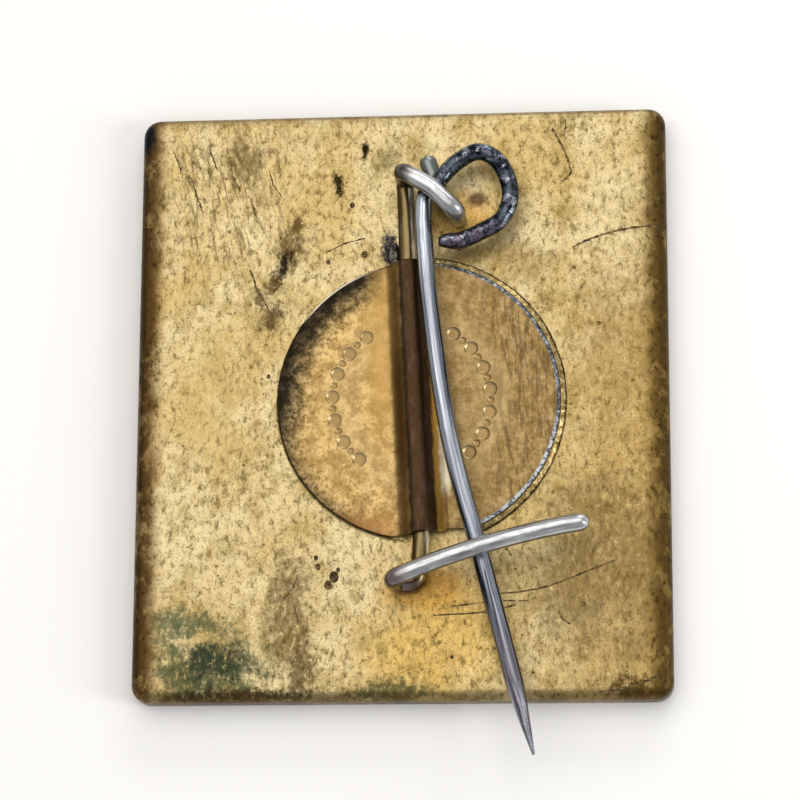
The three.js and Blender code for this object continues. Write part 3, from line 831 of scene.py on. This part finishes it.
# ---------------------------------------------------------------------------
# Fastener wire: one length of plated wire. Its eye was closed round the pin's
# loop, its middle lies in the disc's channel, and its end is bent up and back
# over to make the catch.
# ---------------------------------------------------------------------------
# the wire's sizes are in millimetres; heights are those of its middle line
PLATE_BACK = plate_high.z / MM
WIRE_LOW = PLATE_BACK + 0.42
EYE_RISE = 1.76
WIRE_HIGH = WIRE_LOW + EYE_RISE
PIN_LOW = WIRE_LOW + EYE_RISE / 2
WIRE_BEND = 0.48
RING_STEP = 0.12
EYE_TAIL = Vector((-1.47, 2.95, 0))
EYE_TAIL_BEND = Vector((-0.87, 1.2, 0))
EYE_FOOT = Vector((-0.16, 3.8, 0))
CATCH_FOOT = Vector((-0.16, -2, 0))
CATCH_SIDE = Vector((-1, 0, 0))
CATCH_BAR = Vector((8.62, 2.28, 0))
CATCH_DROP = 0.12
EYE_BOW = -0.18
CATCH_BOW = 0.3
CATCH_CLIMB = 0.85
# where the tin is stained or worn through, as lengths from the eye's free end
BROWN_CORNER = (7.9, 10.3)
BARE_BRASS = (9.9, 28.5)
CATCH_STAIN = (28.3, 31)
eye_leg = Vector(frame["joints"][0]["pos_m"]) / MM


def channel_point(distance):
    """A point on the channel's line, in millimetres, at a distance up from the disc's centre."""
    x, y, _ = to_fastener @ Vector((CHANNEL_X, distance * MM, 0)) / MM
    return Vector((x, y, WIRE_LOW))


def bent_line(corners, bend):
    """Straight runs joined by round bends, as points."""
    line = [corners[0]]
    for before, corner, after in zip(corners, corners[1:], corners[2:]):
        back, on = before - corner, after - corner
        cut = min(bend / math.tan(back.angle(on) / 2), 0.49 * min(back.length, on.length))
        a, b = corner + back.normalized() * cut, corner + on.normalized() * cut
        for i in range(9):
            t = i / 8
            line.append(a * (1 - t) ** 2 + corner * 2 * t * (1 - t) + b * t ** 2)
    line.append(corners[-1])
    return line


def even_line(line, step):
    """The same line with its points a step apart."""
    even = [line[0]]
    left = step
    for a, b in zip(line, line[1:]):
        run = (b - a).length
        while left < run:
            even.append(a.lerp(b, left / run))
            left += step
        left -= run
    if (even[-1] - line[-1]).length > 0.3 * step:
        even.append(line[-1])
    return even


def draw_wire(name, line, radius, end_shapes):
    """A wire along a line of points in millimetres; end_shapes give its thickness near each end."""
    lengths = [0]
    for a, b in zip(line, line[1:]):
        lengths.append(lengths[-1] + (b - a).length)
    curve = bpy.data.curves.new(name, "CURVE")
    curve.dimensions = "3D"
    curve.bevel_depth = radius * MM
    curve.bevel_resolution = 5
    curve.use_fill_caps = True
    spline = curve.splines.new("POLY")
    spline.points.add(len(line) - 1)
    for point, place, along in zip(spline.points, line, lengths):
        point.co = (*(place * MM), 1)
        point.radius = end_shapes[0](along) * end_shapes[1](lengths[-1] - along)
    wire = bpy.data.objects.new(name, curve)
    bpy.context.scene.collection.objects.link(wire)
    drop_selection()
    wire.select_set(True)
    bpy.context.view_layer.objects.active = wire
    bpy.ops.object.convert(target="MESH")
    wire = bpy.context.object
    bpy.ops.object.mode_set(mode="EDIT")
    bpy.ops.mesh.select_all(action="SELECT")
    bpy.ops.mesh.remove_doubles(threshold=0.0005 * MM)
    bpy.ops.mesh.normals_make_consistent(inside=False)
    bpy.ops.object.mode_set(mode="OBJECT")
    lay_grain(wire, line, lengths)
    return wire


def lay_grain(wire, line, lengths):
    """Stores where each vertex lies along and around the wire, as if it were straight, in millimetres."""
    tree = KDTree(len(line))
    for i, place in enumerate(line):
        tree.insert(place, i)
    tree.balance()
    ahead = [(b - a).normalized() for a, b in zip(line, line[1:])]
    ahead.append(ahead[-1])
    across = [ahead[0].orthogonal().normalized()]
    for a, b in zip(ahead, ahead[1:]):
        across.append((a.rotation_difference(b) @ across[-1]).normalized())
    grain = wire.data.attributes.new("grain", "FLOAT_VECTOR", "POINT")
    for vertex in wire.data.vertices:
        place = vertex.co / MM
        _, i, _ = tree.find(place)
        off = place - line[i]
        along = lengths[i] + off.dot(ahead[i])
        grain.data[vertex.index].vector = (along, off.dot(across[i]), off.dot(ahead[i].cross(across[i])))


def cropped_end(away):
    """A cropped end: full thickness, with its corner broken."""
    return 0.8 + 0.2 * min(1, away / 0.15)


def round_end(away):
    """An end filed round."""
    reach = 0.4
    return math.sqrt(max(0.02, 1 - (1 - away / reach) ** 2)) if away < reach else 1


def add_end_rings(line, reach, count):
    """Closer points over the last stretch of a line, for an end whose shape needs them."""
    end, before = line[-1], line[-2]
    ahead = (end - before).normalized()
    kept = [p for p in line if (p - end).length > reach]
    rings = [end - ahead * reach * (1 - math.sin(math.pi / 2 * i / count)) for i in range(count + 1)]
    return kept + rings


mouth_top, mouth_bottom = channel_point(6.35), channel_point(-6.35)
eye_foot = mouth_top + EYE_FOOT
eye_bow = Vector((eye_leg.y - eye_foot.y, eye_foot.x - eye_leg.x, 0)).normalized() * EYE_BOW
bridge = (eye_foot + Vector((eye_leg.x, eye_leg.y, WIRE_LOW))) / 2 + eye_bow
catch_turn = mouth_bottom + CATCH_FOOT
catch_rise = catch_turn + CATCH_SIDE
catch_low = WIRE_HIGH - CATCH_DROP


def lifted(point, height):
    """The same place at another height."""
    return Vector((point.x, point.y, height))


wire_corners = [
    lifted(eye_leg + EYE_TAIL, WIRE_LOW),
    lifted(eye_leg + EYE_TAIL_BEND, WIRE_LOW),
    lifted(eye_leg, WIRE_LOW),
    lifted(eye_leg, WIRE_HIGH),
    lifted(bridge, WIRE_HIGH),
    lifted(eye_foot, WIRE_HIGH),
    eye_foot,
    mouth_top,
    mouth_bottom,
    catch_turn,
    catch_rise,
    lifted(catch_rise, catch_low),
]
for i in range(1, 9):
    t = i / 8
    bowed = catch_rise + CATCH_BAR * t + Vector((0, 4 * CATCH_BOW * t * (1 - t), 0))
    wire_corners.append(lifted(bowed, catch_low + CATCH_CLIMB * t))
wire_line = add_end_rings(even_line(bent_line(wire_corners, WIRE_BEND), RING_STEP), 0.4, 5)
fastener = draw_wire("wire_eye_and_catch", wire_line, WIRE_RADIUS / MM, (cropped_end, round_end))
knocks = bpy.data.textures.new("wire_knocks", "CLOUDS")
knocks.noise_scale = 2.4 * MM
apply_modifier(fastener, "DISPLACE", texture=knocks, strength=0.02 * MM, mid_level=0.6)
smooth(fastener, 50)
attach(fastener, "badge")
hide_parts("fastener_wire")

# Brass wire, tinned: silver-white and bright where the tin is whole, on the eye and the catch, and rubbed
# through to brown-gold brass beside the disc. Drawing left fine lines along it.
tinned, tree = new_material("tinned_brass_wire")
place = object_mm(tree)
grain = add_node(tree, "ShaderNodeAttribute", attribute_name="grain").outputs["Vector"]
along, _, _ = axes(tree, grain)
mottle_place = stretched(tree, grain, 0, (0.3, 1, 1))
mottle = noise(tree, mottle_place, 2.2, 5, 0.65)
streaks_place = stretched(tree, grain, 0, (0.35, 5, 5))
streaks = noise(tree, streaks_place, 1, 4, 0.6)
tone = blend(tree, band(tree, mottle, 0.4, 0.65), "#d4d5d6", "#a2a4a6")
tone = blend(tree, band(tree, streaks, 0.5, 0.64), tone, "#6c6a70", 0.6)
wander = weighted(tree, mottle, 1.2, along)
bare = between(tree, wander, BARE_BRASS[0], BARE_BRASS[1], 0.35)
tone = blend(tree, bare, tone, "#7d6a3e", 0.94)
side, _, _ = axes(tree, on_disc(tree, place)[0])
tone = blend(tree, both(tree, bare, band(tree, streaks, 0.48, 0.6)), tone, "#4c3719", 0.75)
# painted highlight: a near-white strip down the right side of the bare brass run, as a reflection
tone = blend(tree, both(tree, bare, band(tree, side, 0.04, 0.1)), tone, "#fff2d8", 0.95)
tone = blend(tree, both(tree, bare, band(tree, side, -0.36, -0.44)), tone, "#4a3216", 0.8)
corner = between(tree, wander, BROWN_CORNER[0], BROWN_CORNER[1], 0.3)
tone = blend(tree, corner, tone, "#3d2612", 0.85)
turn_stain = between(tree, wander, CATCH_STAIN[0], CATCH_STAIN[1], 0.4)
tone = blend(tree, turn_stain, tone, "#6a5552", 0.8)
tail = band(tree, wander, 4, 3)
tone = blend(tree, tail, tone, "#6d7674", 0.9)
dull = weighted(tree, mottle, 0.25, 0.16)
relief = weighted(tree, mottle, 0.8, streaks)
finish_metal(tree, tone, dull, relief, 0.2, 0.015)
give(fastener, tinned)

# ---------------------------------------------------------------------------
# Pin: hard steel wire. One end is turned into a loop that hangs in the eye,
# the shank runs under the catch, and the other end is ground to a point.
# ---------------------------------------------------------------------------
PIN_RADIUS = 0.4
PIN_SHANK = WIRE_LOW + CREST_RADIUS / MM + PIN_RADIUS + 0.02
POINT_LENGTH = 3.3
# the loop from its snipped end round to the shank, as places measured from the eye's leg
LOOP = [
    (-0.85, -1.22), (-0.5, -1.2), (0.15, -1.18), (1.03, -0.82), (2, -0.22), (2.39, 0.9), (1.87, 2.42),
    (1, 2.95), (-0.11, 2.4), (-0.8, 1.65), (-1.45, 0.9),
]
# then how far along the catch's bar the shank crosses it, and from there to the tip
CROSSING_X = 3.85
PAST_CROSSING = Vector((2.26, -8.7, 0))


def smooth_line(points, count):
    """A springy curve through the points (a centripetal Catmull-Rom spline)."""
    ends = [points[0] * 2 - points[1], *points, points[-1] * 2 - points[-2]]
    line = []
    for p0, p1, p2, p3 in zip(ends, ends[1:], ends[2:], ends[3:]):
        d0, d1, d2 = (math.sqrt((b - a).length) for a, b in ((p0, p1), (p1, p2), (p2, p3)))
        t1 = ((p1 - p0) / d0 - (p2 - p0) / (d0 + d1) + (p2 - p1) / d1) * d1
        t2 = ((p2 - p1) / d1 - (p3 - p1) / (d1 + d2) + (p3 - p2) / d2) * d1
        for i in range(count):
            t = i / count
            cubed = (2 * p1 - 2 * p2 + t1 + t2) * t ** 3
            line.append(cubed + (3 * p2 - 3 * p1 - 2 * t1 - t2) * t ** 2 + t1 * t + p1)
    return line + [points[-1]]


def ground_point(away):
    """Thickness near the tip: ground down to a small flat, a little full in the middle."""
    if away > POINT_LENGTH:
        return 1
    t = away / POINT_LENGTH
    return 0.15 + 0.85 * (t + 0.25 * t * (1 - t))


crossing = catch_rise + CATCH_BAR * (CROSSING_X / CATCH_BAR.x)
pin_points = [lifted(eye_leg + Vector((x, y, 0)), PIN_LOW) for x, y in LOOP]
pin_points.append(lifted(eye_leg + Vector((-1.53, 0, 0)), PIN_LOW + (PIN_SHANK - PIN_LOW) * 0.35))
pin_points.append(lifted(eye_leg + Vector((-1.47, -1.17, 0)), PIN_SHANK))
waist = lifted(eye_leg + Vector((-1.24, -3.95, 0)), PIN_SHANK)
middle_x = waist.x + (crossing.x - waist.x) * 0.41
middle_y = waist.y + (crossing.y - waist.y) * 0.55
middle = Vector((middle_x, middle_y, PIN_SHANK))
pin_points += [waist, middle, lifted(crossing, PIN_SHANK)]
tip = lifted(crossing + PAST_CROSSING, PIN_SHANK)
shoulder = tip + (pin_points[-1] - tip).normalized() * POINT_LENGTH
pin_line = even_line(smooth_line(pin_points + [shoulder], 40) + [tip], RING_STEP)


def snipped_end(away):
    """The loop's end: pinched off by cutters, narrower towards the cut."""
    return 0.5 + 0.5 * math.sqrt(away / 0.7) if away < 0.7 else 1


PIN_LENGTH = RING_STEP * len(pin_line)
pin = draw_wire("pin_steel", pin_line, PIN_RADIUS, (snipped_end, ground_point))
hammering = bpy.data.textures.new("loop_hammering", "CLOUDS")
hammering.noise_scale = 0.6 * MM
bent_part = pin.vertex_groups.new(name="loop")
bent_part.add([v.index for v in pin.data.vertices if v.co.y > (eye_leg.y - 1.8) * MM], 1, "REPLACE")
apply_modifier(pin, "DISPLACE", texture=hammering, strength=0.05 * MM, mid_level=0.7, vertex_group="loop")
smooth(pin, 50)
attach(pin, "pin")
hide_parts("pin")

# High-carbon steel wire, drawn: blue-grey with bright and dark lines along it, painted reflections of the
# light and dark surroundings on the round wire. The loop was heated to be bent and stayed blue-black, worn
# to bright specks, and the ground point is browned.
steel, tree = new_material("drawn_spring_steel")
place = object_mm(tree)
grain = add_node(tree, "ShaderNodeAttribute", attribute_name="grain").outputs["Vector"]
along, _, _ = axes(tree, grain)
# painted reflections: bright and dark lines along the round wire stand for the light and dark surroundings
# it mirrors; the same noise also gives the bump of its drawing lines
lines_place = stretched(tree, grain, 0, (0.12, 4.4, 4.4))
lines = noise(tree, lines_place, 1, 3, 0.6)
mottle = noise(tree, place, 3, 6, 0.7)
tone = blend(tree, band(tree, lines, 0.4, 0.6), "#a3a9b4", "#646a78")
tone = blend(tree, band(tree, lines, 0.55, 0.59), tone, "#1b1f2b", 0.92)
tone = blend(tree, band(tree, lines, 0.42, 0.38), tone, "#d5dce6", 0.85)
wander = weighted(tree, mottle, 2, along)
browned = band(tree, wander, PIN_LENGTH - 7, PIN_LENGTH - 2.5)
tone = blend(tree, browned, tone, "#7a6c72", 0.45)
heated = band(tree, wander, 11.7, 10.9)
blued = blend(tree, band(tree, mottle, 0.38, 0.62), "#15181f", "#525a64")
worn = noise(tree, place, 2.2, 7, 0.8)
blued = blend(tree, band(tree, worn, 0.54, 0.62), blued, "#b4bac2", 0.85)
purple = both(tree, band(tree, along, 3.4, 1.5), band(tree, mottle, 0.4, 0.6))
blued = blend(tree, purple, blued, "#7d7085", 0.8)
tone = blend(tree, heated, tone, blued)
dull = weighted(tree, mottle, 0.3, 0.12)
relief = weighted(tree, mottle, 0.7, lines)
finish_metal(tree, tone, dull, relief, 0.4, 0.03)
give(pin, steel)

# ---------------------------------------------------------------------------
# Enamel: four blue quarters and an ivory ring, fired into the cells of the
# plate's front and ground flush with the metal between them.
# ---------------------------------------------------------------------------
ENAMEL_EDGE = 0.05 * MM


def enamel_glass(name, deep, pale, speck):
    """Vitreous enamel, fired and stoned flat: a glassy coat over even colour, with a few tiny bubbles and
    a slight orange peel from the firing."""
    glass, tree = new_material(name)
    place = object_mm(tree)
    cloud = noise(tree, place, 0.5, 4)
    tone = blend(tree, band(tree, cloud, 0.35, 0.65), deep, pale)
    bubbles = add_node(tree, "ShaderNodeTexVoronoi", {"Vector": place, "Scale": 3}).outputs["Distance"]
    tone = blend(tree, band(tree, bubbles, 0.1, 0.05), tone, speck, 0.5)
    peel = noise(tree, place, 1.8, 2)
    dull = weighted(tree, peel, 0.12, 0.05)
    bump = add_node(tree, "ShaderNodeBump", {"Height": peel, "Strength": 0.15, "Distance": 0.02 * MM})
    coat = add_node(tree, "ShaderNodeBsdfPrincipled", {
        "Base Color": tone, "Roughness": dull, "IOR": 1.52, "Coat Weight": 0.6, "Coat Roughness": 0.04,
        "Normal": bump.outputs[0]})
    add_node(tree, "ShaderNodeOutputMaterial", {"Surface": coat.outputs[0]})
    return glass


blue_glass = enamel_glass("blue_vitreous_enamel", "#12306f", "#1a4390", "#5b83c4")
ivory_glass = enamel_glass("ivory_vitreous_enamel", "#ece3cc", "#f5efdd", "#b7ab8e")
for name in ENAMELS:
    enamel = merged_copy(name, name + "_fired")
    apply_modifier(enamel, "BEVEL", width=ENAMEL_EDGE, segments=2, limit_method="ANGLE",
                   angle_limit=math.radians(60))
    smooth(enamel, 35)
    give(enamel, ivory_glass if name == "enamel_middle" else blue_glass)
    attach(enamel, "badge")
    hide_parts(name)
